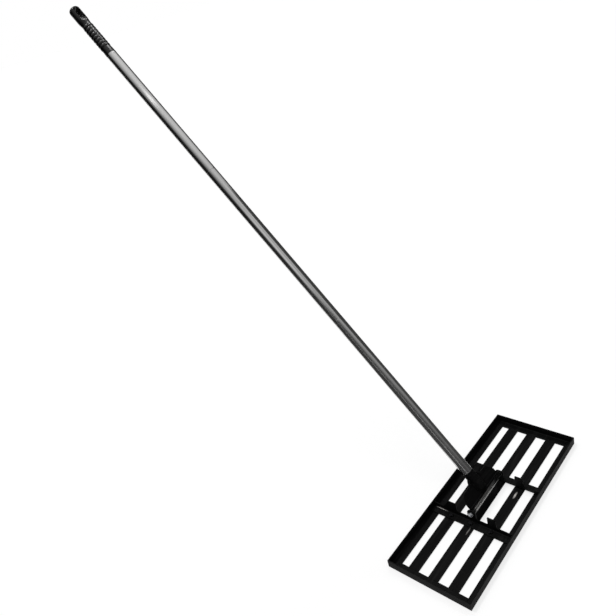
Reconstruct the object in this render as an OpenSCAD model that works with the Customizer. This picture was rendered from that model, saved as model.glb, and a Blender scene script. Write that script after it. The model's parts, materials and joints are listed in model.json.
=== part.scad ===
// Lawn leveling rake: a flat steel grid on angle-iron rails, and a screw-together pole that swings on a
// long bolt between two bent cross plates.
// Millimetres. X runs along the head, Y across it (the pole leans to +Y), Z up from the ground.

/* [Head frame] */
// Length of the head
head_l = 650; // [500:10:900]
// Width of the head
head_w = 250; // [240:2:300]
// Height of the rails' upright legs
rail_h = 25; // [20:1:32]
// Thickness of the rails and the slats
bar_t = 3; // [2.6:0.1:4]
// Radius in the rails' inner corner
root_r = 3; // [2:0.5:4]
// Width of the rear rail's bottom leg
rear_leg = 28; // [22:1:32]
// Width of the front rail's bottom leg
front_leg = 22; // [20:1:30]
// Width of the end rails' bottom legs
end_leg = 25; // [18:1:40]

/* [Slats] */
// Width of each slat
slat_w = 30; // [24:1:34]
// Distance between the middle lines of neighbouring slats
slat_pitch = 60.5; // [56:0.5:64]

/* [Cross plates] */
// Free width between the two cross plates
cross_gap = 166; // [140:2:200]
// Thickness of the cross plates
cross_t = 3; // [2.5:0.5:4]
// Width of a cross plate's foot
cross_foot = 25; // [22:1:34]
// Inner radius of the bend between foot and web
bend_r = 3; // [2:0.5:4]
// Height of the web over the slats
web_h = 15; // [12:1:19]
// Radius of the pivot ear, from the pivot bolt's middle
ear_r = 13; // [11:0.5:15]
// Width of each side tab
tab_w = 25; // [20:1:28]
// Height of the side tabs' tops over the ground
tab_top = 47; // [40:0.5:50]
// Corner radius of the side tabs
tab_corner_r = 2; // [1:0.5:5]
// Length of the slope from the rear side tab down to the web
slope_l = 18; // [8:1:24]
// Radius in the corners between the web and its ear and tabs
notch_r = 3; // [1:0.5:5]

/* [Frame screws] */
// Diameter of the countersunk screws
screw_d = 6; // [5:0.5:6.5]
// Diameter of the screw heads
screw_head_d = 11; // [10:0.5:12]
// Depth of the screw heads
screw_head_h = 2.6; // [2.2:0.1:2.6]
// Length of thread that shows over each nut
screw_show = 1.5; // [0.5:0.5:3]
// Width of the screw nuts across the flats
screw_nut_w = 10; // [9:0.5:11]
// Height of the screw nuts
screw_nut_h = 5; // [4:0.5:7]
// Distance of the screw row from the cross plate's inner face
screw_row = 14.5; // [13:0.5:18]
// Gap all round a screw in its holes
screw_gap = 0.2; // [0.1:0.05:0.3]

/* [Pivot] */
// Height of the pivot over the ground
pivot_h = 35; // [32:1:38]
// Diameter of the pivot bolt
bolt_d = 8; // [7:0.5:10]
// Gap all round the bolt in the ears
ear_gap = 0.1; // [0.05:0.05:0.3]
// Gap all round the bolt in the turning sleeve
sleeve_gap = 0.06; // [0.02:0.01:0.1]
// Width of the bolt head and nut across the flats
bolt_head_w = 13; // [12:0.5:17]
// Height of the bolt head
bolt_head_h = 5.2; // [4:0.2:7]
// Height of the locknut
locknut_h = 5; // [4.5:0.5:8]
// Height of the locknut's round collar over its hexagon
locknut_collar_h = 1.6; // [1:0.1:2.5]
// How much narrower the locknut's collar is than its hexagon
locknut_collar_step = 1.4; // [0.6:0.2:3]
// Length of thread that shows over the locknut
bolt_show = 1; // [0.5:0.5:4]
// Diameter of the steel washers
washer_d = 16; // [15:0.5:20]
// Thickness of the steel washers
washer_t = 1.2; // [0.8:0.1:2]
// Diameter of the plastic thrust washers
thrust_d = 18; // [14:0.5:22]
// Thickness of the plastic thrust washers
thrust_t = 1.5; // [1:0.1:2.5]
// Gap between a thrust washer and the sleeve
thrust_gap = 0.25; // [0.1:0.05:0.5]

/* [Yoke] */
// Outer diameter of the pivot sleeve
sleeve_d = 17; // [14:0.5:20]
// Thickness of the yoke plate
yoke_t = 4; // [3:0.5:6]
// How far the yoke plate's foot stands back from the sleeve's ends
yoke_inset = 2.25; // [1:0.25:8]
// Width of the yoke plate at its top
yoke_top_w = 122; // [90:2:126]
// Distance from the pivot up to which the yoke plate keeps its foot's width
yoke_shoulder = 24; // [14:1:32]
// Distance from the pivot to the yoke plate's top edge
yoke_top = 50; // [42:1:60]
// Corner radius at the yoke plate's top
yoke_corner_r = 8; // [4:1:14]
// Outer diameter of the stub that carries the pole
stub_d = 34; // [33:0.5:38]
// Distance from the pivot to the stub's lower end
stub_start = 22; // [14:1:26]
// Distance from the pivot to the stub's mouth
stub_end = 80; // [70:1:90]

/* [Pole] */
// Angle of the pole over the ground as stored
pole_angle = 50.8; // [20:0.2:90]
// Outer diameter of the pole tubes
tube_d = 32; // [29.5:0.5:32]
// Outer diameter of the ferrule on the lowest tube's end
ferrule_d = 32.8; // [32.6:0.2:34]
// Length of the ferrule
ferrule_l = 32; // [20:1:45]
// Gap all round the tube in the ferrule
ferrule_gap = 0.03; // [0.01:0.01:0.05]
// Wall of the pole tubes
tube_wall = 0.6; // [0.5:0.1:1.5]
// Length of each pole tube
tube_l = 575; // [400:5:700]
// Outer diameter of the upper tube's narrow end inside the grip
neck_d = 28; // [25:0.5:28]
// Diameter of the screw threads that join the pole
thread_d = 16; // [14:0.5:20]
// Length of each screw thread
thread_l = 28; // [20:1:34]
// Gap all round a thread in its socket
thread_gap = 0.1; // [0.05:0.05:0.2]
// Depth left free under a thread in its socket
thread_room = 4; // [2:1:8]
// Length of each plug inside a tube
plug_l = 40; // [30:1:60]
// Diameter of the hollow in each plug
plug_hollow_d = 8; // [4:0.5:10]
// Gap all round a plug in its tube
plug_gap = 0.05; // [0.02:0.01:0.1]

/* [Grip] */
// Length of the grip
grip_l = 182; // [178:1:220]
// Length of tube inside the grip
grip_cover = 114; // [100:1:115]
// Diameter of the grip between its ribs
grip_d = 30.5; // [30.5:0.5:34]
// Gap all round the tube in the grip
grip_gap = 0.05; // [0.02:0.01:0.1]
// Length of the collar at the grip's lower end
collar_l = 24; // [18:1:26]
// Height of the collar's straight lip
lip_l = 3; // [1:0.5:6]
// How far the collar's lip stands out
collar_lip = 0.9; // [0.3:0.1:2]
// Number of finger ribs
rib_count = 8; // [5:1:8]
// Distance from rib to rib
rib_pitch = 11; // [9:0.1:11.4]
// How far the ribs stand out
rib_out = 1.2; // [0.4:0.1:1.4]
// Length of the waist above the ribs
waist_l = 6; // [3:1:8]
// Length of the slope from the waist up to the grip's head
knob_l = 16; // [12:1:20]
// How far the grip's head stands out
knob_out = 1.9; // [0.6:0.1:2.2]
// Radius round the edge of the grip's end
end_r = 10; // [6:0.5:12]
// Width of the hanging slot
slot_w = 18; // [12:0.5:18]
// Length of the hanging slot
slot_l = 35; // [26:1:36]
// Plastic left between the slot and the grip's end
slot_edge = 5; // [4:0.5:8]
// Length of the ramps that lead into the slot's lower end
ramp_l = 22; // [12:1:22]
// Depth of the ramps where they meet the slot
ramp_drop = 8; // [3:0.5:9]
// Turn of the grip about the pole
grip_turn = -3; // [-45:1:45]

/* [Hidden] */
$fn = 64;
slats = [-1, 0, 1];
sides = [-1, 1];
// How far a cutter reaches past the face it opens
cut = 1;

// Levels over the ground
seat_z = bar_t;
foot_top = seat_z + cross_t;
web_top = seat_z + web_h;
bend_out_r = bend_r + cross_t;

// Places along X
cross_in = cross_gap / 2;
cross_out = cross_in + cross_t;
screw_x = cross_in + screw_row;
sleeve_l = cross_gap - 2 * (thrust_t + thrust_gap);
yoke_base_w = sleeve_l - 2 * yoke_inset;

// Places along Y
tab_edge = slat_pitch + tab_w / 2;
slat_ys = [for (i = slats) i * slat_pitch];
cross_l = head_w - 2 * (bar_t + root_r);

// Places along the pole, from the pivot
joints_at = [for (i = [0:3]) stub_end + i * tube_l];
grip_at = joints_at[3] - grip_cover;
tube_in = tube_d - 2 * tube_wall;
plug_d = tube_in - 2 * plug_gap;
socket_d = thread_d + 2 * thread_gap;

// Places along the grip, from its lower end
ribs_end = collar_l + rib_count * rib_pitch;
head_start = ribs_end + waist_l;
head_r = grip_d / 2 + knob_out;
end_start = grip_l - end_r;
slot_low = grip_l - slot_edge - slot_l + slot_w / 2;
slot_high = grip_l - slot_edge - slot_w / 2;

black_coat = [0.05, 0.05, 0.055];
zinc = [0.72, 0.73, 0.74];
bare_steel = [0.5, 0.5, 0.5];
black_zinc = [0.09, 0.09, 0.095];
stainless = [0.62, 0.63, 0.64];
black_plastic = [0.035, 0.035, 0.04];
black_nylon = [0.05, 0.05, 0.05];
grey_nylon = [0.3, 0.3, 0.31];

// Turns +Z into +X
module along_x() {
    rotate([0, 90, 0]) children();
}

// Moves the pole's own frame to the pivot: Z runs up the pole, X along the pivot bolt
module on_pole() {
    translate([0, 0, pivot_h]) rotate([pole_angle - 90, 0, 0]) children();
}

module ring(outer_d, inner_d, h) {
    difference() {
        cylinder(d = outer_d, h = h);
        translate([0, 0, -cut]) cylinder(d = inner_d, h = h + 2 * cut);
    }
}

// Hexagon with its top corners turned off at 30 degrees
module hex_block(flats, h) {
    corner_d = flats / cos(30);
    turned_h = (corner_d - flats) / 2 * tan(30);
    intersection() {
        cylinder(d = corner_d, h = h, $fn = 6);
        union() {
            cylinder(d = corner_d + cut, h = h - turned_h);
            translate([0, 0, h - turned_h]) cylinder(d1 = corner_d, d2 = flats, h = turned_h);
        }
    }
}

// Locknut: a hexagon with a turned collar that holds its plastic ring
module locknut(flats, h, bore_d) {
    difference() {
        union() {
            hex_block(flats, h - locknut_collar_h);
            cylinder(d = flats - locknut_collar_step, h = h);
        }
        translate([0, 0, -cut]) cylinder(d = bore_d, h = h + 2 * cut);
    }
}

// Section of an angle-iron rail: bottom leg along +x from the outer edge, upright leg at x = 0
module angle_section(leg) {
    square([leg, bar_t]);
    square([bar_t, rail_h]);
    difference() {
        translate([bar_t, bar_t]) square(root_r);
        translate([bar_t + root_r, bar_t + root_r]) circle(root_r);
    }
}

module long_angle(leg) {
    translate([-head_l / 2, -head_w / 2, 0])
        rotate([90, 0, 90]) linear_extrude(head_l) angle_section(leg);
}

module front_rail_bar() {
    long_angle(front_leg);
}

module rear_rail_bar() {
    mirror([0, 1, 0]) long_angle(rear_leg);
}

// End rail, coped round both long rails
module end_rail_bar() {
    difference() {
        translate([-head_l / 2, head_w / 2, 0])
            rotate([90, 0, 0]) linear_extrude(head_w) angle_section(end_leg);
        front_rail_bar();
        rear_rail_bar();
    }
}

// Countersunk hole for a frame screw, open at the ground
module sunk_hole() {
    hole_d = screw_d + 2 * screw_gap;
    translate([0, 0, -cut]) cylinder(d = hole_d, h = foot_top + 2 * cut);
    translate([0, 0, -screw_gap])
        cylinder(d1 = screw_head_d + 2 * screw_gap, d2 = hole_d, h = screw_head_h + screw_gap);
}

module sunk_holes(y) {
    for (s = sides) translate([s * screw_x, y, 0]) sunk_hole();
}

module front_rail() {
    color(black_coat) front_rail_bar();
}

module rear_rail() {
    color(black_coat) rear_rail_bar();
}

module left_end_rail() {
    color(black_coat) end_rail_bar();
}

module right_end_rail() {
    color(black_coat) mirror([1, 0, 0]) end_rail_bar();
}

// Flat bar between the end rails' bottom legs
module slat(i) {
    slat_l = head_l - 2 * end_leg;
    color(black_coat) difference() {
        translate([-slat_l / 2, i * slat_pitch - slat_w / 2, 0]) cube([slat_l, slat_w, bar_t]);
        sunk_holes(i * slat_pitch);
    }
}

module front_slat() {
    slat(-1);
}

module middle_slat() {
    slat(0);
}

module rear_slat() {
    slat(1);
}

// Foot, bend and web of a cross plate, as a section in x and z
module bent_section() {
    centre = [cross_in + bend_out_r, seat_z + bend_out_r];
    translate([centre[0], seat_z]) square([cross_foot - bend_out_r, cross_t]);
    translate([cross_in, centre[1]]) square([cross_t, web_h - bend_out_r]);
    intersection() {
        translate(centre) difference() {
            circle(bend_out_r);
            circle(bend_r);
        }
        translate([cross_in, seat_z]) square(bend_out_r);
    }
}

module tab_outline() {
    bottom = seat_z + bend_out_r;
    r = tab_corner_r;
    translate([-tab_w / 2, bottom]) square([tab_w, tab_top - bottom - r]);
    translate([-tab_w / 2 + r, bottom]) square([tab_w - 2 * r, tab_top - bottom]);
    for (s = sides) translate([s * (tab_w / 2 - r), tab_top - r]) circle(r);
}

// Hollow rounding between the web's top edge and both flanks of an ear
module notch_corners(y, half_w) {
    for (s = sides) translate([y, web_top]) mirror([s < 0 ? 1 : 0, 0]) translate([half_w, 0]) difference() {
        square(notch_r);
        translate([notch_r, notch_r]) circle(notch_r);
    }
}

// Pivot ear in the middle, a side tab over each outer slat and a slope behind the rear tab
module ear_outline() {
    bottom = seat_z + bend_out_r;
    slope_top = tab_top - tab_corner_r;
    difference() {
        union() {
            translate([-ear_r, bottom]) square([2 * ear_r, pivot_h - bottom]);
            translate([0, pivot_h]) circle(ear_r);
            for (s = sides) translate([s * slat_pitch, 0]) tab_outline();
            notch_corners(0, ear_r);
            for (s = sides) notch_corners(s * slat_pitch, tab_w / 2);
            polygon([[tab_edge, bottom], [tab_edge + slope_l, bottom], [tab_edge + slope_l, web_top],
                [tab_edge, slope_top]]);
        }
        translate([0, pivot_h]) circle(bolt_d / 2 + ear_gap);
    }
}

module cross_plate() {
    difference() {
        union() {
            translate([0, cross_l / 2, 0]) rotate([90, 0, 0]) linear_extrude(cross_l) bent_section();
            translate([cross_in, 0, 0]) rotate([90, 0, 90]) linear_extrude(cross_t) ear_outline();
        }
        for (y = slat_ys)
            translate([screw_x, y, 0]) cylinder(d = screw_d + 2 * screw_gap, h = foot_top + cut);
    }
}

module left_cross_plate() {
    color(black_coat) mirror([1, 0, 0]) cross_plate();
}

module right_cross_plate() {
    color(black_coat) cross_plate();
}

module at_frame_screws() {
    for (s = sides, y = slat_ys) translate([s * screw_x, y, 0]) children();
}

module frame_screws() {
    color(black_zinc) at_frame_screws() {
        cylinder(d1 = screw_head_d, d2 = screw_d, h = screw_head_h);
        cylinder(d = screw_d, h = foot_top + screw_nut_h + screw_show);
    }
}

module frame_nuts() {
    color(black_zinc) at_frame_screws() translate([0, 0, foot_top]) difference() {
        hex_block(screw_nut_w, screw_nut_h);
        translate([0, 0, -cut]) cylinder(d = screw_d + screw_gap, h = screw_nut_h + 2 * cut);
    }
}

module at_pivot(x) {
    translate([x, 0, pivot_h]) along_x() children();
}

module pivot_bolt() {
    head_face = -cross_out - washer_t;
    shank_l = 2 * (cross_out + washer_t) + locknut_h + bolt_show;
    color(zinc) {
        at_pivot(head_face) cylinder(d = bolt_d, h = shank_l);
        at_pivot(head_face) mirror([0, 0, 1]) hex_block(bolt_head_w, bolt_head_h);
    }
}

module pivot_washers() {
    color(black_zinc) for (x = [-cross_out - washer_t, cross_out])
        at_pivot(x) ring(washer_d, bolt_d + 2 * ear_gap, washer_t);
}

module pivot_locknut() {
    color(black_zinc) at_pivot(cross_out + washer_t)
        locknut(bolt_head_w, locknut_h, bolt_d + ear_gap);
}

module thrust_washers() {
    color(black_nylon) for (x = [-cross_in, cross_in - thrust_t])
        at_pivot(x) ring(thrust_d, bolt_d + 2 * ear_gap, thrust_t);
}

module pivot_sleeve() {
    color(bare_steel) on_pole()
        translate([-sleeve_l / 2, 0, 0]) along_x() ring(sleeve_d, bolt_d + 2 * sleeve_gap, sleeve_l);
}

// Half of the yoke plate's outline: upright to its shoulder, then sloping in to a rounded top corner
module yoke_half() {
    base = [yoke_base_w / 2, 0];
    shoulder = [yoke_base_w / 2, yoke_shoulder];
    top = [yoke_top_w / 2, yoke_top];
    edge = top - shoulder;
    lean = atan2(edge[1], -edge[0]);
    reach = yoke_corner_r / tan((180 - lean) / 2);
    along = edge / norm(edge);
    polygon([[0, 0], base, shoulder, top - along * reach, top - [reach, 0], [0, yoke_top]]);
    translate([top[0] - reach, yoke_top - yoke_corner_r]) circle(yoke_corner_r);
}

module yoke_plate() {
    color(black_coat) on_pole() difference() {
        rotate([90, 0, 0]) translate([0, 0, -yoke_t / 2]) linear_extrude(yoke_t) {
            yoke_half();
            mirror([1, 0]) yoke_half();
        }
        translate([-yoke_base_w, 0, 0]) along_x() cylinder(d = sleeve_d, h = 2 * yoke_base_w);
        translate([0, 0, stub_start]) cylinder(d = stub_d, h = yoke_top);
    }
}

module pole_stub() {
    color(black_coat) on_pole() translate([0, 0, stub_start]) ring(stub_d, tube_in, stub_end - stub_start);
}

// Threaded plug at a tube's lower end; its thread reaches down from the joint
module stud(k) {
    color(grey_nylon) on_pole() translate([0, 0, joints_at[k]]) difference() {
        union() {
            translate([0, 0, -thread_l]) cylinder(d = thread_d, h = thread_l + cut);
            cylinder(d = plug_d, h = plug_l);
        }
        translate([0, 0, -thread_l - cut]) cylinder(d = plug_hollow_d, h = thread_l + plug_l + 2 * cut);
    }
}

// Threaded socket plug in the stub's mouth or at a tube's upper end
module socket(k) {
    color(grey_nylon) on_pole() translate([0, 0, joints_at[k] - plug_l]) difference() {
        cylinder(d = plug_d, h = plug_l);
        translate([0, 0, plug_l - thread_l - thread_room])
            cylinder(d = socket_d, h = thread_l + thread_room + cut);
    }
}

module tube(k) {
    color(stainless) on_pole() translate([0, 0, joints_at[k]]) ring(tube_d, tube_in, tube_l);
}

module stub_socket() {
    socket(0);
}

module lower_stud() {
    stud(0);
}

module lower_tube() {
    tube(0);
}

module lower_socket() {
    socket(1);
}

module middle_stud() {
    stud(1);
}

module middle_tube() {
    tube(1);
}

module middle_socket() {
    socket(2);
}

module upper_stud() {
    stud(2);
}

// Upper tube: its narrow end fills the grip, and the grip sits on its shoulder
module upper_tube() {
    shoulder = tube_l - grip_cover;
    color(stainless) on_pole() translate([0, 0, joints_at[2]]) rotate_extrude()
        polygon([[tube_in / 2, 0], [tube_d / 2, 0], [tube_d / 2, shoulder], [neck_d / 2, shoulder],
            [neck_d / 2, tube_l], [neck_d / 2 - tube_wall, tube_l],
            [neck_d / 2 - tube_wall, shoulder - tube_wall], [tube_in / 2, shoulder - tube_wall]]);
}

// Steel ferrule over the lowest tube's end
module pole_ferrule() {
    color(stainless) on_pole() translate([0, 0, stub_end])
        ring(ferrule_d, tube_d + 2 * ferrule_gap, ferrule_l);
}

// Half section of the grip: collar with a lip, round ribs, a waist and a wider head with a rounded end
module grip_section() {
    r = grip_d / 2;
    rib_r = (pow(rib_pitch / 2, 2) + pow(rib_out, 2)) / (2 * rib_out);
    polygon([[0, 0], [r + collar_lip, 0], [r + collar_lip, lip_l], [r, collar_l], [r, head_start],
        [head_r, head_start + knob_l], [head_r, end_start], [0, end_start]]);
    intersection() {
        for (i = [0:rib_count - 1])
            translate([r + rib_out - rib_r, collar_l + (i + 0.5) * rib_pitch]) circle(rib_r);
        translate([r - cut, collar_l]) square([rib_out + cut, ribs_end - collar_l]);
    }
    translate([0, end_start]) square([head_r - end_r, end_r]);
    translate([head_r - end_r, end_start]) intersection() {
        circle(end_r);
        square(end_r);
    }
}

module hanging_slot() {
    for (z = [slot_low, slot_high])
        translate([0, 0, z]) rotate([90, 0, 0]) cylinder(d = slot_w, h = 2 * grip_d, center = true);
    translate([-slot_w / 2, -grip_d, slot_low]) cube([slot_w, 2 * grip_d, slot_high - slot_low]);
}

// Cutters for the sloping ways into the slot's lower end, one on each face
module slot_ramps() {
    rate = ramp_drop / ramp_l;
    foot = slot_low - slot_w / 2 - ramp_l;
    outside = head_r + cut;
    for (s = sides) mirror([0, s < 0 ? 1 : 0, 0])
        translate([-slot_w / 2, 0, 0]) rotate([90, 0, 90]) linear_extrude(slot_w)
            polygon([[outside, foot - cut / rate], [outside, slot_low],
                [head_r - rate * (slot_low - foot), slot_low]]);
}

module grip() {
    color(black_plastic) on_pole() translate([0, 0, grip_at]) rotate([0, 0, grip_turn]) difference() {
        rotate_extrude() grip_section();
        translate([0, 0, -cut]) cylinder(d = neck_d + 2 * grip_gap, h = grip_cover + cut);
        hanging_slot();
        slot_ramps();
    }
}

front_rail();
rear_rail();
left_end_rail();
right_end_rail();
front_slat();
middle_slat();
rear_slat();
left_cross_plate();
right_cross_plate();
frame_screws();
frame_nuts();
pivot_bolt();
pivot_washers();
pivot_locknut();
thrust_washers();
pivot_sleeve();
yoke_plate();
pole_stub();
stub_socket();
lower_stud();
lower_tube();
lower_socket();
middle_stud();
middle_tube();
middle_socket();
upper_stud();
upper_tube();
grip();
pole_ferrule();
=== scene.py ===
"""Lawn leveling rake: finishes, small shop details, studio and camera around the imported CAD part.

The shared frame is in metres: X along the head, Y to the rear where the pole leans, Z up from the ground.
"""

import json
import math

import bmesh
import bpy
import numpy as np
from mathutils import Matrix

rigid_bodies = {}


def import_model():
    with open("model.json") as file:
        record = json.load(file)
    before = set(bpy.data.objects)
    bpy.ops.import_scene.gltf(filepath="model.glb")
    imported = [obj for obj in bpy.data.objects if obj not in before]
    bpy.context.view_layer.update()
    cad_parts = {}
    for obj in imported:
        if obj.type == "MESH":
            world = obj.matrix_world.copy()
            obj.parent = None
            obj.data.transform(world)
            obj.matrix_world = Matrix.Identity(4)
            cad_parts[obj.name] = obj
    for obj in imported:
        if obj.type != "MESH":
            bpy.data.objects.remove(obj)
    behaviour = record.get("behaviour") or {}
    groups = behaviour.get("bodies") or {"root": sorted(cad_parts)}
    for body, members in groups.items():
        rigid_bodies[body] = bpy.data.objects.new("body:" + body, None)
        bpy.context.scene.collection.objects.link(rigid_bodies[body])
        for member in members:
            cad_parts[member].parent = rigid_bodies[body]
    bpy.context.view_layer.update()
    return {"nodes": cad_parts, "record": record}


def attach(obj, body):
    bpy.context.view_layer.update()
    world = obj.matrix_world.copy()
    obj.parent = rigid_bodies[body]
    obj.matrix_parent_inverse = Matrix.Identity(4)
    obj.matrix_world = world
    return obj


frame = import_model()

# Sizes of the CAD part that the added pieces sit on
PIVOT_Z = 0.035
POLE_ANGLE = math.radians(50.8)
SLEEVE_R = 0.0085
YOKE_T = 0.004
YOKE_HALF = 0.079
YOKE_TOP = 0.050
STUB_R = 0.017
STUB_START = 0.022
STUB_END = 0.080
FERRULE_R = 0.0164
FERRULE_L = 0.032
TUBE_R = 0.016
TUBE_L = 0.575
HEAD_L = 0.650
HEAD_W = 0.250
BAR_T = 0.003
RAIL_H = 0.025
END_LEG = 0.025
SLAT_W = 0.030
SLAT_PITCH = 0.0605
FRONT_LEG = 0.022
REAR_LEG = 0.028
CROSS_IN = 0.083
CROSS_T = 0.003
CROSS_FOOT = 0.025
CROSS_END = 0.119
WEB_TOP = 0.018
BOLT_R = 0.004
LOCKNUT_END = 0.0922
BOLT_END = 0.0932
SCREW_X = 0.0975
SCREW_R = 0.003
SCREW_TOP = 0.0125
NUT_TOP = 0.011

# Sides of the head along X, rows of slats along Y and faces of the yoke, with their signs
HANDS = (("left", -1), ("right", 1))
ROWS = (("front", -1), ("middle", 0), ("rear", 1))
FACES = (("front", -1), ("back", 1))

# Weld beads: the radius of each kind, and the height to width of the flat ones
YOKE_BEAD = 0.0024
CROWN_BEAD = 0.0046
CORNER_BEAD = 0.0024
FLAT_BEAD = 0.0022
FOOT_BEAD = 0.0021
WEB_BEAD = 0.0019
FLATNESS = 0.35

# Where beads lie: how far they end short of an edge or stand off what they join, and how far they reach
BEAD_SHORT = 0.001
LEG_BEAD_SHORT = 0.004
BEAD_PROUD = 0.0004
YOKE_BEAD_Y = 1.3 * YOKE_T / 2
CROWN_RISE = 0.013
CROWN_SPREAD = 0.012
FOOT_BEAD_START = 0.006
FOOT_BEAD_RISE = 0.0012
WEB_BEAD_OUT = 0.0014
WEB_BEAD_FOOT = 0.007

# Screw threads: pitch, height of the ridge, and how deep its foot lies in the shank
BOLT_PITCH = 0.00125
BOLT_RIDGE = 0.0004
BOLT_SUNK = 0.0002
SCREW_PITCH = 0.001
SCREW_RIDGE = 0.0003
SCREW_SUNK = 0.0001

# Profile of the locknut's ring: radius and distance out of the nut
LOCKNUT_RING = (
    (0.0052, -0.0002),
    (0.0050, 0.0001),
    (0.0047, 0.0004),
    (0.0043, 0.0004),
    (0.0041, 0.0),
    (0.0039, -0.0002),
)

# Profiles of a tube's rolled lip and a joint's dark seam: distance along the pole and height over the tube
LIP_GAP = 0.00015
LIP = ((0.0, -0.0001), (0.0002, 0.00006), (0.0006, 0.00012), (0.0011, 0.00007), (0.0014, -0.0001))
SEAM = ((-0.00035, -0.0001), (-0.0003, 0.00004), (0.0004, 0.00004), (0.00045, -0.0001))

# Pale spots painted into the coat's colour as glints, which are painted highlights: middle, reach along X
# and Y, and how bright each is
PAINTED_GLINTS = (
    (0.055, -0.0603, 0.016, 0.0035, 1.0),
    (-0.121, -0.0052, 0.016, 0.0025, 0.33),
    (-0.0888, 0.096, 0.0016, 0.021, 1.0),
)

# Small lamps that mirror rays alone see: the glint's place up the pole, the way to the lamp in the pole's
# frame, the lamp's reach, width and length, and its glow
LAMPS = {
    "lamp_card": (1.506, (-0.215, -0.883, 0.418), 0.4, 0.42, 0.042, 1.8),
    "collar_lamp_card": (1.7205, (0.433, -0.770, 0.468), 0.132, 0.07, 0.015, 18.0),
    "slot_lamp_card": (1.8225, (0.433, -0.770, 0.468), 0.132, 0.07, 0.023, 15.0),
}

# Suns: strength, width in degrees, and the way to each
SUNS = {
    "key_light": (1.0, 14, (-0.1, 0.414, 0.905)),
    "side_light": (0.3, 8, (0.55, 0.35, 0.76)),
}

# Shading: colours of the stage, the range that noise mostly keeps to, and the samples of a softened edge
BLACK = (0, 0, 0, 1)
WHITE = (1, 1, 1, 1)
FLOOR_GREY = (0.3, 0.3, 0.3, 1)
NOISE_LOW = 0.3
NOISE_HIGH = 0.7
EDGE_SAMPLES = 6


def pole_points(x, y, up):
    """Points of the shared frame from the pole's own: x along the bolt, y to the pole's back, and up it."""
    x, y, up = np.broadcast_arrays(np.asarray(x, float), y, up)
    cosine, sine = math.cos(POLE_ANGLE), math.sin(POLE_ANGLE)
    return np.stack([x, sine * y + cosine * up, PIVOT_Z - cosine * y + sine * up], -1)


# Mesh pieces


def grid_piece(name, points, body, slot, loop=False):
    """A smooth closed surface over a grid of points (rows, columns, 3), whose last column joins the first.

    Its first and last rows are single points, merged into poles, or with loop the last row joins the first.
    """
    rows, columns = points.shape[:2]
    row, column = np.meshgrid(np.arange(rows if loop else rows - 1), np.arange(columns), indexing="ij")
    row, column = row.ravel() * columns, column.ravel()
    above, beside = (row + columns) % (rows * columns), (column + 1) % columns
    faces = np.stack([row + column, row + beside, above + beside, above + column], 1)
    mesh = bpy.data.meshes.new(name)
    mesh.from_pydata(points.reshape(-1, 3).tolist(), [], faces.tolist())
    work = bmesh.new()
    work.from_mesh(mesh)
    bmesh.ops.remove_doubles(work, verts=work.verts, dist=1e-6)
    work.to_mesh(mesh)
    work.free()
    mesh.polygons.foreach_set("use_smooth", np.ones(len(mesh.polygons), bool))
    mesh.materials.append(finishes[slot])
    mesh.update()
    obj = bpy.data.objects.new(name, mesh)
    bpy.context.scene.collection.objects.link(obj)
    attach(obj, body)


def bead_grid(start, end, radius, seed, squash):
    """Weld bead from start to end: p(t, v) = line(t) + R(t) * (cos v * a + squash * sin v * b).

    R(t) = radius * sqrt(1 - e(t)^4) * (base + rise * ridge + wander). e falls from 1 to 0 over each end cap,
    the ridges are the half moons that a hand-held torch leaves, and the wander is slow unevenness.
    """
    step, least_steps, around = 0.0004, 24, 14
    cap_length = 1.2
    ridge_pitch, pitch_spread, ridge_power = 0.0019, 0.12, 0.7
    drift, drift_length = 0.35, 0.011
    wander_share, wander_length = 0.09, 0.007
    base, rise = 0.88, 0.14
    start, end = np.asarray(start, float), np.asarray(end, float)
    length = np.linalg.norm(end - start)
    along = (end - start) / length
    steep = abs(along[2]) > 0.9
    a = np.cross(along, [1.0, 0.0, 0.0] if steep else [0.0, 0.0, 1.0])
    a /= np.linalg.norm(a)
    b = np.cross(along, a)
    rng = np.random.default_rng(seed)
    t = np.linspace(0.0, 1.0, max(least_steps, int(length / step)))
    cap = min(0.5, cap_length * radius / length)
    e = np.clip(np.maximum(1 - t / cap, 1 - (1 - t) / cap), 0.0, 1.0)
    pitch = ridge_pitch * (1 + pitch_spread * rng.standard_normal())
    phase = t * length / pitch + drift * np.sin(t * length / drift_length + rng.uniform(0, 6))
    ridge = np.abs(np.sin(np.pi * phase)) ** ridge_power
    wander = wander_share * np.sin(t * length / wander_length + rng.uniform(0, 6))
    size = radius * np.sqrt(np.clip(1 - e**4, 0.0, 1.0)) * (base + rise * ridge + wander)
    v = np.linspace(0.0, 2 * np.pi, around, endpoint=False)
    ring = np.cos(v)[:, None] * a + squash * np.sin(v)[:, None] * b
    line = start + np.outer(t * length, along)
    return line[:, None] + size[:, None, None] * ring[None]


def weld(name, ends, radius, body, squash=1.0):
    """Weld bead between two ends, with ripples drawn from its own name."""
    seed = sum(ord(letter) * place for place, letter in enumerate(name, 1))
    grid_piece(name, bead_grid(*ends, radius, seed, squash), body, "coated_steel")


def thread_grid(radius, length, pitch, ridge):
    """Screw thread along +z: r(u, v) = radius + ridge * w(frac(u / pitch - v / 2 pi)), w a rounded V.

    It starts inside the nut, its last ridge drops into the core just short of the screw's end face, and its
    inner wall lies in the core.
    """
    inside, short, tip, sunk = 0.0003, 0.0001, 0.00002, 0.0002
    steps_a_turn, least_steps, around = 20, 24, 36
    rounding = 1.3
    u = np.linspace(-inside, length - short, max(least_steps, int(length / pitch * steps_a_turn)))
    v = np.linspace(0.0, 2 * np.pi, around, endpoint=False)
    turn = (u[:, None] / pitch - v[None] / (2 * np.pi)) % 1.0
    r = radius + ridge * (1 - np.abs(2 * turn - 1)) ** rounding
    core = np.full((1, around), radius - sunk)
    r = np.vstack([core, r, core])
    u = np.concatenate([u[:1], u, [length - tip]])
    return np.stack([r * np.cos(v), r * np.sin(v), np.repeat(u[:, None], around, 1)], -1)


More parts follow.
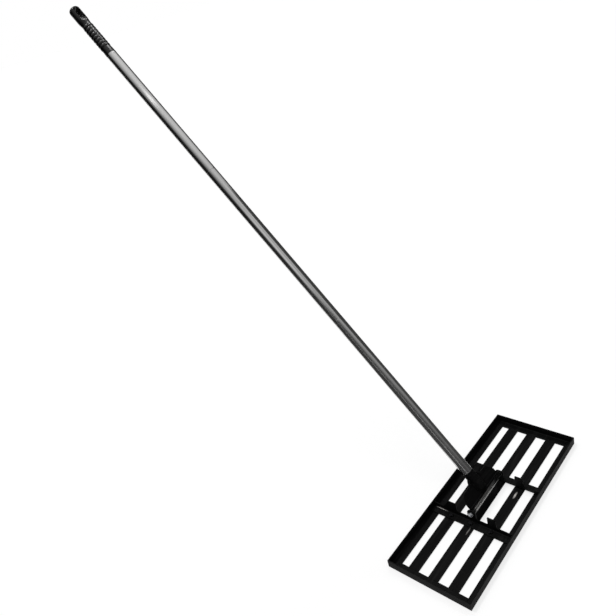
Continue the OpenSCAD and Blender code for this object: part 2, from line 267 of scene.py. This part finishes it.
def ring_grid(profile):
    """Surface of revolution about z of a profile of (radius, z) pairs: p(v) = (r cos v, r sin v, z)."""
    around = 72
    profile = np.asarray(profile, float)
    v = np.linspace(0.0, 2 * np.pi, around, endpoint=False)
    r, z = profile[:, 0][:, None], profile[:, 1][:, None]
    return np.stack([r * np.cos(v), r * np.sin(v), np.repeat(z, around, 1)], -1)


# Shader helpers


def feed(tree, socket, value):
    """Link a socket to another, or set it to a plain value."""
    if isinstance(value, bpy.types.NodeSocket):
        tree.links.new(value, socket)
    else:
        socket.default_value = value


def add(tree, kind, inputs=None, **settings):
    node = tree.nodes.new(kind)
    for key, value in settings.items():
        setattr(node, key, value)
    for key, value in (inputs or {}).items():
        feed(tree, node.inputs[key], value)
    return node


def set_inputs(tree, node, **inputs):
    for key, value in inputs.items():
        feed(tree, node.inputs[key.replace("_", " ")], value)


def math_node(tree, operation, a, b, clamp=False):
    return add(tree, "ShaderNodeMath", {0: a, 1: b}, operation=operation, use_clamp=clamp).outputs[0]


def times(tree, a, b, clamp=False):
    return math_node(tree, "MULTIPLY", a, b, clamp)


def remap(tree, value, low, high, to_low=0.0, to_high=1.0):
    inputs = {"Value": value, "From Min": low, "From Max": high, "To Min": to_low, "To Max": to_high}
    return add(tree, "ShaderNodeMapRange", inputs).outputs["Result"]


def spread(tree, noise_value, to_low, to_high):
    """Noise, which mostly keeps to the middle of its range, spread from to_low to to_high."""
    return remap(tree, noise_value, NOISE_LOW, NOISE_HIGH, to_low, to_high)


def noise(tree, position, scale, detail, roughness=0.5):
    inputs = {"Vector": position, "Scale": scale, "Detail": detail, "Roughness": roughness}
    return add(tree, "ShaderNodeTexNoise", inputs).outputs


def stretched_noise(tree, position, scale, detail):
    """Noise with its own scale along each axis."""
    place = add(tree, "ShaderNodeMapping", {"Vector": position, "Scale": scale}).outputs[0]
    return noise(tree, place, 1.0, detail)[0]


def colour_mix(tree, factor, a, b):
    return add(tree, "ShaderNodeMix", {"Factor": factor, "A": a, "B": b}, data_type="RGBA").outputs["Result"]


def grained_normal(tree, height, strength, depth, edge=None):
    """Normal with a fine grain, over edges that are softened to the radius edge where it is given."""
    inputs = {"Strength": strength, "Distance": depth, "Height": height}
    if edge is not None:
        inputs["Normal"] = add(tree, "ShaderNodeBevel", {"Radius": edge}, samples=EDGE_SAMPLES).outputs[0]
    return add(tree, "ShaderNodeBump", inputs).outputs[0]


def split(tree, vector):
    return add(tree, "ShaderNodeSeparateXYZ", {0: vector}).outputs


def object_position(tree):
    return tree.nodes.new("ShaderNodeTexCoord").outputs["Object"]


def pole_frame(tree, position):
    """Object position turned into the pole's own frame, so that patterns can run along or round the tube."""
    inputs = {"Vector": position, "Center": (0.0, 0.0, PIVOT_Z), "Angle": math.pi / 2 - POLE_ANGLE}
    return add(tree, "ShaderNodeVectorRotate", inputs, rotation_type="X_AXIS").outputs[0]


def new_group(name, inputs, outputs):
    group = bpy.data.node_groups.new(name, "ShaderNodeTree")
    for label, kind in inputs.items():
        group.interface.new_socket(label, in_out="INPUT", socket_type=kind)
    for label, kind in outputs.items():
        group.interface.new_socket(label, in_out="OUTPUT", socket_type=kind)
    return group, group.nodes.new("NodeGroupInput"), group.nodes.new("NodeGroupOutput")


def place_group(tree, group, **inputs):
    node = tree.nodes.new("ShaderNodeGroup")
    node.node_tree = group
    set_inputs(tree, node, **inputs)
    return node.outputs


def new_material(name):
    material = bpy.data.materials.new(name)
    material.use_nodes = True
    tree = material.node_tree
    tree.nodes.clear()
    out = tree.nodes.new("ShaderNodeOutputMaterial")
    shader = tree.nodes.new("ShaderNodeBsdfPrincipled")
    tree.links.new(shader.outputs[0], out.inputs["Surface"])
    return material, tree, shader


# Finishes


def mottle_group():
    """Slow uneven tone, fine grain and thin rub marks, each from 0 to 1, at sizes given in metres.

    The rub marks are the edges of bent cells, kept only where the slow tone is high.
    """
    tone_detail, tone_roughness, fine_detail = 5.0, 0.6, 2.0
    bend_scale, bend_detail, bend_reach = 25.0, 1.0, (0.02, 0.02, 0.02)
    cell_scale, line_width = 55.0, 0.012
    rub_start, rub_full = 0.52, 0.62
    number, vector = "NodeSocketFloat", "NodeSocketVector"
    inputs = {"Position": vector, "Patch": number, "Grain": number}
    group, given, result = new_group("mottle", inputs, {"Tone": number, "Fine": number, "Rub": number})
    position = given.outputs["Position"]
    patch_scale = math_node(group, "DIVIDE", 1.0, given.outputs["Patch"])
    grain_scale = math_node(group, "DIVIDE", 1.0, given.outputs["Grain"])
    tone = noise(group, position, patch_scale, tone_detail, tone_roughness)[0]
    fine = noise(group, position, grain_scale, fine_detail)[0]
    bend = noise(group, position, bend_scale, bend_detail)["Color"]
    bend = add(group, "ShaderNodeVectorMath", {0: bend, 1: bend_reach}, operation="MULTIPLY").outputs[0]
    bent = add(group, "ShaderNodeVectorMath", {0: position, 1: bend}, operation="ADD").outputs[0]
    inputs = {"Vector": bent, "Scale": cell_scale}
    cells = add(group, "ShaderNodeTexVoronoi", inputs, feature="DISTANCE_TO_EDGE").outputs
    lines = remap(group, cells["Distance"], 0.0, line_width, 1.0, 0.0)
    rub = times(group, lines, remap(group, tone, rub_start, rub_full))
    set_inputs(group, result, Tone=tone, Fine=fine, Rub=rub)
    return group


def glint_oval(tree, position, x, y, length, width):
    """Soft oval mask on a level face: 1 - ((px - x) / length)^2 - ((py - y) / width)^2, not under 0."""
    axes = split(tree, position)
    total = 1.0
    for axis, middle, reach in (("X", x, length), ("Y", y, width)):
        off = math_node(tree, "DIVIDE", math_node(tree, "SUBTRACT", axes[axis], middle), reach)
        total = math_node(tree, "SUBTRACT", total, times(tree, off, off))
    return math_node(tree, "MAXIMUM", total, 0.0)


def coated_steel_material(mottle):
    """Black powder coat: drag streaks along the bars, thin rub marks, and pale glint spots, which are
    painted highlights.
    """
    deep_black, faded_black = (0.0012, 0.0012, 0.0013, 1), (0.0027, 0.0027, 0.0028, 1)
    streak_grey, streak_share = (0.014, 0.0138, 0.0135, 1), 0.5
    streak_scale, streak_detail = (9.0, 150.0, 150.0), 4.0
    streak_start, streak_full = 0.5, 0.75
    rub_grey, rub_share, rub_rough = (0.03, 0.029, 0.028, 1), 0.35, 0.12
    # Colour of the painted glints, and the grain range over which they fade in
    painted_glint_grey, least_glint = (0.66, 0.63, 0.60, 1), 0.2
    glint_start, glint_full = 0.35, 0.6
    rough_low, rough_high = 0.56, 0.66
    material, tree, shader = new_material("coated_steel")
    position = object_position(tree)
    marks = place_group(tree, mottle, Position=position, Patch=0.05, Grain=0.0011)
    drag = stretched_noise(tree, position, streak_scale, streak_detail)
    streak = times(tree, remap(tree, drag, streak_start, streak_full), streak_share)
    colour = colour_mix(tree, marks["Tone"], deep_black, faded_black)
    colour = colour_mix(tree, streak, colour, streak_grey)
    colour = colour_mix(tree, times(tree, marks["Rub"], rub_share), colour, rub_grey)
    # Painted highlights: pale glint spots mixed into the coat's colour, broken up by the fine grain
    painted_glint = 0.0
    for x, y, length, width, glint_share in PAINTED_GLINTS:
        glint_spot = times(tree, glint_oval(tree, position, x, y, length, width), glint_share)
        painted_glint = math_node(tree, "ADD", painted_glint, glint_spot)
    glint_breakup = remap(tree, marks["Fine"], glint_start, glint_full, least_glint, 1.0)
    colour = colour_mix(tree, times(tree, painted_glint, glint_breakup, clamp=True), colour, painted_glint_grey)
    rough = spread(tree, marks["Tone"], rough_low, rough_high)
    rough = math_node(tree, "ADD", rough, times(tree, marks["Rub"], rub_rough))
    normal = grained_normal(tree, marks["Fine"], strength=0.12, depth=0.00012, edge=0.0007)
    set_inputs(tree, shader, Base_Color=colour, Roughness=rough, Normal=normal, Specular_IOR_Level=0.085)
    return material


def stainless_material(mottle):
    """Polished stainless tube: faint polishing lines round it and a slow change of tone along it."""
    dark_steel, light_steel = (0.56, 0.557, 0.554, 1), (0.65, 0.648, 0.645, 1)
    polish_scale, polish_detail = (60.0, 60.0, 2600.0), 3.0
    rough_low, rough_high = 0.15, 0.21
    polish_low, polish_high = -0.02, 0.04
    material, tree, shader = new_material("stainless_tube")
    position = pole_frame(tree, object_position(tree))
    marks = place_group(tree, mottle, Position=position, Patch=0.09, Grain=0.002)
    polish = stretched_noise(tree, position, polish_scale, polish_detail)
    colour = colour_mix(tree, marks["Tone"], dark_steel, light_steel)
    rough = spread(tree, marks["Tone"], rough_low, rough_high)
    rough = math_node(tree, "ADD", rough, spread(tree, polish, polish_low, polish_high))
    normal = grained_normal(tree, polish, strength=0.06, depth=0.00005)
    set_inputs(tree, shader, Base_Color=colour, Roughness=rough, Normal=normal, Metallic=1.0)
    return material


def plated_material(name, mottle, dark, light, rough_low, rough_high):
    """Turned or plated steel: small spangles of tone and a fine grain, with softened edges."""
    material, tree, shader = new_material(name)
    marks = place_group(tree, mottle, Position=object_position(tree), Patch=0.006, Grain=0.0007)
    colour = colour_mix(tree, marks["Tone"], dark, light)
    rough = spread(tree, marks["Fine"], rough_low, rough_high)
    normal = grained_normal(tree, marks["Fine"], strength=0.1, depth=0.00008, edge=0.0004)
    set_inputs(tree, shader, Base_Color=colour, Roughness=rough, Normal=normal, Metallic=1.0)
    return material


def bare_steel_material(mottle):
    """Turned steel of the pivot sleeve, black along the yoke's edge and almost black towards both ends near
    the ears.
    """
    dark_steel, light_steel = (0.32, 0.316, 0.308, 1), (0.46, 0.455, 0.445, 1)
    sleeve_black, end_dark_share = (0.006, 0.006, 0.006, 1), 0.92
    yoke_edge = PIVOT_Z + 0.0042, PIVOT_Z + 0.0060
    right_end, left_end = (0.034, 0.052), (-0.066, -0.074)
    rough_low, rough_high = 0.14, 0.22
    material, tree, shader = new_material("bare_steel")
    position = object_position(tree)
    marks = place_group(tree, mottle, Position=position, Patch=0.006, Grain=0.0007)
    along = split(tree, position)["X"]
    up = split(tree, pole_frame(tree, position))["Z"]
    # Turns the sleeve black above the yoke's edge and almost black towards both ends near the ears
    near_ears = math_node(tree, "MAXIMUM", remap(tree, along, *right_end), remap(tree, along, *left_end))
    dark_share = math_node(tree, "MAXIMUM", remap(tree, up, *yoke_edge), times(tree, near_ears, end_dark_share))
    colour = colour_mix(tree, marks["Tone"], dark_steel, light_steel)
    colour = colour_mix(tree, dark_share, colour, sleeve_black)
    rough = spread(tree, marks["Fine"], rough_low, rough_high)
    normal = grained_normal(tree, marks["Fine"], strength=0.1, depth=0.00008)
    set_inputs(tree, shader, Base_Color=colour, Roughness=rough, Normal=normal, Metallic=1.0)
    return material


def plastic_material(name, mottle, dark, light, rough_low, rough_high, grain, sheen=0.5):
    """Moulded plastic: slow patches of tone and gloss over a fine grain, with softened edges."""
    material, tree, shader = new_material(name)
    marks = place_group(tree, mottle, Position=object_position(tree), Patch=0.03, Grain=grain)
    colour = colour_mix(tree, marks["Tone"], dark, light)
    rough = spread(tree, marks["Tone"], rough_low, rough_high)
    normal = grained_normal(tree, marks["Fine"], strength=0.15, depth=0.0001, edge=0.0006)
    set_inputs(tree, shader, Base_Color=colour, Roughness=rough, Normal=normal, Specular_IOR_Level=sheen)
    return material


def make_finishes():
    """The record's material slots, each with its finish."""
    mottle = mottle_group()
    return {
        "coated_steel": coated_steel_material(mottle),
        "stainless_tube": stainless_material(mottle),
        "zinc_steel": plated_material(
            "zinc_steel",
            mottle,
            dark=(0.60, 0.62, 0.66, 1),
            light=(0.76, 0.77, 0.78, 1),
            rough_low=0.2,
            rough_high=0.34,
        ),
        "bare_steel": bare_steel_material(mottle),
        "black_zinc": plated_material(
            "black_zinc",
            mottle,
            dark=(0.03, 0.03, 0.034, 1),
            light=(0.055, 0.055, 0.06, 1),
            rough_low=0.25,
            rough_high=0.38,
        ),
        "grip_plastic": plastic_material(
            "grip_plastic",
            mottle,
            dark=(0.0015, 0.0015, 0.0016, 1),
            light=(0.003, 0.003, 0.0033, 1),
            rough_low=0.26,
            rough_high=0.33,
            grain=0.0006,
            sheen=0.45,
        ),
        "grey_nylon": plastic_material(
            "grey_nylon",
            mottle,
            dark=(0.16, 0.16, 0.17, 1),
            light=(0.22, 0.22, 0.23, 1),
            rough_low=0.4,
            rough_high=0.5,
            grain=0.0008,
        ),
        "black_nylon": plastic_material(
            "black_nylon",
            mottle,
            dark=(0.012, 0.012, 0.012, 1),
            light=(0.02, 0.02, 0.02, 1),
            rough_low=0.4,
            rough_high=0.5,
            grain=0.0008,
        ),
    }


# Added pieces


def yoke_welds():
    """Beads that swing with the pole: along the sleeve, up the stub's sides, and at the yoke's crown."""
    saddle = math.sqrt(SLEEVE_R**2 - (YOKE_T / 2) ** 2) + BEAD_PROUD
    flank = math.sqrt(STUB_R**2 - (YOKE_T / 2) ** 2) + BEAD_PROUD
    half = YOKE_HALF - 2 * BEAD_SHORT
    for face, y_sign in FACES:
        y = y_sign * YOKE_BEAD_Y
        weld(f"weld_sleeve_{face}", pole_points([-half, half], y, saddle), YOKE_BEAD, "handle")
        for hand, x_sign in HANDS:
            ends = pole_points(x_sign * flank, y, [STUB_START + BEAD_SHORT, YOKE_TOP - BEAD_SHORT])
            weld(f"weld_stub_{face}_{hand}", ends, YOKE_BEAD, "handle")
    for hand, x_sign in HANDS:
        x = [x_sign * (STUB_R - BEAD_SHORT), x_sign * (STUB_R + CROWN_SPREAD)]
        ends = pole_points(x, 0.0, [YOKE_TOP + CROWN_RISE, YOKE_TOP - BEAD_SHORT])
        weld(f"weld_crown_{hand}", ends, CROWN_BEAD, "handle")


def head_welds():
    """Beads of the head: corners, rails' flat legs, cross plates' feet and webs, and slats' ends."""
    end_in = HEAD_L / 2 - BAR_T
    leg_end = HEAD_L / 2 - END_LEG
    slat_half = SLAT_W / 2 - BEAD_SHORT
    foot_z = BAR_T + FOOT_BEAD_RISE
    for hand, x_sign in HANDS:
        for place, y_sign, leg in (("front", -1, FRONT_LEG), ("rear", 1, REAR_LEG)):
            x = x_sign * end_in
            y = y_sign * (HEAD_W / 2 - BAR_T)
            ends = (x, y, BAR_T + 2 * BEAD_SHORT), (x, y, RAIL_H - BEAD_SHORT)
            weld(f"weld_corner_{place}_{hand}", ends, CORNER_BEAD, "head")
            inner, outer = x_sign * (leg_end + BEAD_SHORT), x_sign * (end_in - LEG_BEAD_SHORT)
            y = y_sign * (HEAD_W / 2 - leg)
            ends = (inner, y, BAR_T), (outer, y, BAR_T)
            weld(f"weld_leg_{place}_{hand}", ends, FLAT_BEAD, "head", FLATNESS)
            inner = x_sign * (CROSS_IN + FOOT_BEAD_START)
            outer = x_sign * (CROSS_IN + CROSS_FOOT - BEAD_SHORT)
            y = y_sign * CROSS_END
            ends = (inner, y, foot_z), (outer, y, foot_z)
            weld(f"weld_foot_{place}_{hand}", ends, FOOT_BEAD, "head")
            x = x_sign * (CROSS_IN + CROSS_T / 2)
            y = y_sign * (CROSS_END + WEB_BEAD_OUT)
            ends = (x, y, WEB_BEAD_FOOT), (x, y, WEB_TOP - BEAD_SHORT)
            weld(f"weld_web_{place}_{hand}", ends, WEB_BEAD, "head")
        for place, row in ROWS:
            x = x_sign * leg_end
            y = row * SLAT_PITCH
            ends = (x, y - slat_half, BAR_T), (x, y + slat_half, BAR_T)
            weld(f"weld_slat_{place}_{hand}", ends, FLAT_BEAD, "head", FLATNESS)


def threads():
    """Threads on the free ends of the bolt and the frame screws, and the nylon ring inside the locknut."""
    to_x = np.array(Matrix.Rotation(math.pi / 2, 3, "Y")).T
    nut_face = LOCKNUT_END, 0.0, PIVOT_Z
    thread = thread_grid(BOLT_R - BOLT_SUNK, BOLT_END - LOCKNUT_END, BOLT_PITCH, BOLT_RIDGE)
    grid_piece("bolt_thread", thread @ to_x + nut_face, "head", "zinc_steel", loop=True)
    grid_piece("locknut_ring", ring_grid(LOCKNUT_RING) @ to_x + nut_face, "head", "black_nylon", loop=True)
    thread = thread_grid(SCREW_R - SCREW_SUNK, SCREW_TOP - NUT_TOP, SCREW_PITCH, SCREW_RIDGE)
    for hand, x_sign in HANDS:
        for place, row in ROWS:
            nut_face = x_sign * SCREW_X, row * SLAT_PITCH, NUT_TOP
            grid_piece(f"screw_thread_{place}_{hand}", thread + nut_face, "head", "black_zinc", loop=True)


def pole_ring(name, profile, up, slot):
    """Ring round the pole: a profile of (radius, z) pairs turned about it, with z = 0 at a place up it."""
    ring = ring_grid(profile)
    points = pole_points(ring[..., 0], ring[..., 1], up + ring[..., 2])
    grid_piece(name, points, "handle", slot, loop=True)


def tube_joints():
    """Rolled lips where the pole's tubes meet, and the dark line of each of the pole's joints."""
    both_ends = (("top", 1), ("bottom", -1))
    joints = (
        ("stub", STUB_END, FERRULE_R, ()),
        ("ferrule", STUB_END + FERRULE_L, TUBE_R, ()),
        ("lower", STUB_END + TUBE_L, TUBE_R, both_ends),
        ("upper", STUB_END + 2 * TUBE_L, TUBE_R, both_ends),
    )
    for joint, up, radius, lips in joints:
        for end, sign in lips:
            profile = [(radius + height, sign * (off + LIP_GAP)) for off, height in LIP[::sign]]
            pole_ring(f"tube_lip_{joint}_{end}", profile, up, "stainless_tube")
        profile = [(radius + height, off) for off, height in SEAM]
        pole_ring(f"tube_seam_{joint}", profile, up, "grip_plastic")


# Studio


def matt_glow(tree, shader, strength, base=BLACK, **more):
    """A matt surface without gloss that gives off white light."""
    set_inputs(tree, shader, Base_Color=base, Roughness=1.0, Specular_IOR_Level=0.0)
    set_inputs(tree, shader, Emission_Color=WHITE, Emission_Strength=strength, **more)


def floor_material():
    """Pale matt floor, which camera and mirror rays see with a plain glow that keeps its shadow soft."""
    plain_glow = 0.72
    material, tree, shader = new_material("studio_floor")
    path = tree.nodes.new("ShaderNodeLightPath").outputs
    seen = math_node(tree, "ADD", path["Is Camera Ray"], path["Is Glossy Ray"], clamp=True)
    seen = math_node(tree, "ADD", seen, path["Is Transmission Ray"], clamp=True)
    matt_glow(tree, shader, times(tree, seen, plain_glow), FLOOR_GREY)
    return material


def card_material(name, low, high):
    """Card whose glow changes from low near the floor to high further up."""
    low_z, high_z = 0.1, 0.8
    material, tree, shader = new_material(name)
    height = split(tree, object_position(tree))["Z"]
    matt_glow(tree, shader, remap(tree, height, low_z, high_z, low, high))
    return material


def lit_card_material():
    """Pale card with soft ends and sides, measured along the pole's lean and across it."""
    glow = 0.75
    first_clear, first_full = 0.72, 0.92
    other_edges = (("Z", 1.34, 1.16), ("Y", -0.10, -0.26), ("Y", -0.95, -0.60))
    material, tree, shader = new_material("studio_lit_card")
    place = split(tree, pole_frame(tree, object_position(tree)))
    mask = remap(tree, place["Z"], first_clear, first_full)
    for axis, clear, full in other_edges:
        mask = times(tree, mask, remap(tree, place[axis], clear, full))
    matt_glow(tree, shader, glow, Alpha=mask)
    return material


def lamp_card_material(name, glow):
    material, tree, shader = new_material(name)
    matt_glow(tree, shader, glow)
    return material


def studio_world():
    """White backdrop, and over the object a soft lit ceiling that fades towards the walls."""
    ceiling_middle, ceiling_edge = (0.095, 0.094, 0.991), 0.257
    wall_glow, ceiling_glow = 0.08, 1.03
    backdrop_full, backdrop_end = 0.03, 0.08
    world = bpy.data.worlds.new("studio")
    bpy.context.scene.world = world
    world.use_nodes = True
    tree = world.node_tree
    tree.nodes.clear()
    way = tree.nodes.new("ShaderNodeTexCoord").outputs["Generated"]
    facing = add(tree, "ShaderNodeVectorMath", {0: way, 1: ceiling_middle}, operation="DOT_PRODUCT")
    ceiling = remap(tree, facing.outputs["Value"], ceiling_edge, 1.0, wall_glow, ceiling_glow)
    backdrop = remap(tree, split(tree, way)["Z"], backdrop_full, backdrop_end, 1.0, 0.0)
    path = tree.nodes.new("ShaderNodeLightPath").outputs
    straight = math_node(tree, "MAXIMUM", path["Is Camera Ray"], path["Is Transmission Ray"])
    level = math_node(tree, "MAXIMUM", math_node(tree, "MAXIMUM", ceiling, backdrop), straight)
    back = add(tree, "ShaderNodeBackground", {"Color": WHITE, "Strength": level})
    out = tree.nodes.new("ShaderNodeOutputWorld")
    tree.links.new(back.outputs[0], out.inputs["Surface"])


def stage_mesh(name, points, material):
    """One flat face of the stage through its corner points."""
    mesh = bpy.data.meshes.new(name)
    mesh.from_pydata(points, [], [tuple(range(len(points)))])
    mesh.materials.append(material)
    obj = bpy.data.objects.new(name, mesh)
    bpy.context.scene.collection.objects.link(obj)
    return obj


def lamp_corners(place, way, reach, width, length):
    """Corners of a flat lamp beside the pole, reach away along the way from a place up the pole.

    Its length runs along the pole, and its width across the pole and square to the way.
    """
    way = np.array(way)
    middle = np.array([0.0, 0.0, place]) + reach * way
    across = np.array([-way[1], way[0], 0.0]) / np.hypot(way[0], way[1]) * width / 2
    along = np.array([0.0, 0.0, 1.0]) * length / 2
    corners = np.stack([middle + i * across + j * along for i, j in ((-1, -1), (1, -1), (1, 1), (-1, 1))])
    return pole_points(corners[:, 0], corners[:, 1], corners[:, 2]).tolist()


def studio_cards():
    """Cards round the pole that mirror rays alone see: dark ones, one lit for the middle tube, and lamps.

    Each of the large ones is upright at one X, with its corners as (Y, Z).
    """
    low = [(-0.7, 0.0), (3.0, 0.0)]
    left = low + [(3.0, 1.68), (1.3, 1.68), (0.56, 0.78), (0.25, 0.45), (0.05, 0.3), (-0.15, 0.12)]
    right = low + [(3.0, 1.9), (1.32, 1.9), (0.9, 1.38), (0.68, 1.12), (0.62, 1.15), (0.45, 1.35)]
    right += [(0.0, 1.9), (-0.35, 1.75), (-0.6, 1.2), (-0.2, 0.72), (-0.45, 0.55), (-0.7, 0.5)]
    under = [(0.0, 0.0), (0.6, 0.0), (0.6, 0.62), (0.5, 0.62), (0.0, 0.012)]
    lit = [(-0.5, 0.6), (0.9, 0.6), (0.9, 2.2), (-0.5, 2.2)]
    cards = (
        ("left_card", -0.36, left, card_material("studio_left_card", low=0.08, high=0.012)),
        ("under_card", -0.12, under, card_material("studio_under_card", low=0.07, high=0.03)),
        ("right_card", 0.36, right, card_material("studio_right_card", low=0.08, high=0.06)),
        ("lit_card", -0.37, lit, lit_card_material()),
    )
    made = []
    for name, x, outline, material in cards:
        made.append(stage_mesh(name, [(x, y, z) for y, z in outline], material))
    for name, (place, way, reach, width, length, glow) in LAMPS.items():
        corners = lamp_corners(place, way, reach, width, length)
        made.append(stage_mesh(name, corners, lamp_card_material(f"studio_{name}", glow)))
    for card in made:
        card.visible_camera = False
        card.visible_diffuse = False
        card.visible_shadow = False
        card.visible_transmission = False


def bright_tubes():
    """Collection of tubes that the suns leave out, as the suns' mirror images would burn them to white."""
    tubes = bpy.data.collections.new("bright_tubes")
    for obj in bpy.context.scene.objects:
        if obj.type == "MESH" and finishes["stainless_tube"].name in obj.data.materials:
            tubes.objects.link(obj)
    for item in tubes.collection_objects:
        item.light_linking.link_state = "EXCLUDE"
    return tubes


def place_in_frame(obj, right, up, back, place):
    """Set an object's axes and its place in the shared frame."""
    basis = np.eye(4)
    basis[:3] = np.stack([right, up, back, place], 1)
    obj.matrix_world = Matrix(basis.tolist())


def build_suns():
    left_out = bright_tubes()
    for name, (energy, angle, way) in SUNS.items():
        sun = bpy.data.lights.new(name, "SUN")
        sun.energy = energy
        sun.angle = math.radians(angle)
        obj = bpy.data.objects.new(name, sun)
        bpy.context.scene.collection.objects.link(obj)
        back = np.array(way) / np.linalg.norm(way)
        right = np.cross([0.0, 0.0, 1.0], back)
        right /= np.linalg.norm(right)
        place_in_frame(obj, right, np.cross(back, right), back, way)
        obj.light_linking.receiver_collection = left_out


def build_studio():
    size, under = 30.0, -0.0002
    corners = [(-size, -size, under), (size, -size, under), (size, size, under), (-size, size, under)]
    stage_mesh("studio_floor", corners, floor_material())
    studio_cards()
    studio_world()
    build_suns()


def build_camera():
    """The photo's own camera, solved from the head's edges, with its axes and place in the shared frame."""
    lens = bpy.data.cameras.new("photo_camera")
    lens.sensor_width = 36.0
    lens.lens = 36.67
    camera = bpy.data.objects.new("photo_camera", lens)
    place_in_frame(
        camera,
        right=(0.6355, -0.7349, -0.2367),
        up=(0.5129, 0.1727, 0.8409),
        back=(-0.5771, -0.6558, 0.4867),
        place=(-1.0936, -0.7160, 1.4818),
    )
    bpy.context.scene.collection.objects.link(camera)
    bpy.context.scene.camera = camera


finishes = make_finishes()
for part in frame["record"]["subparts"]:
    materials = frame["nodes"][part["node"]].data.materials
    materials.clear()
    materials.append(finishes[part["material_slot"]])
yoke_welds()
head_welds()
threads()
tube_joints()
build_studio()
build_camera()
bpy.context.scene.view_settings.view_transform = "Standard"
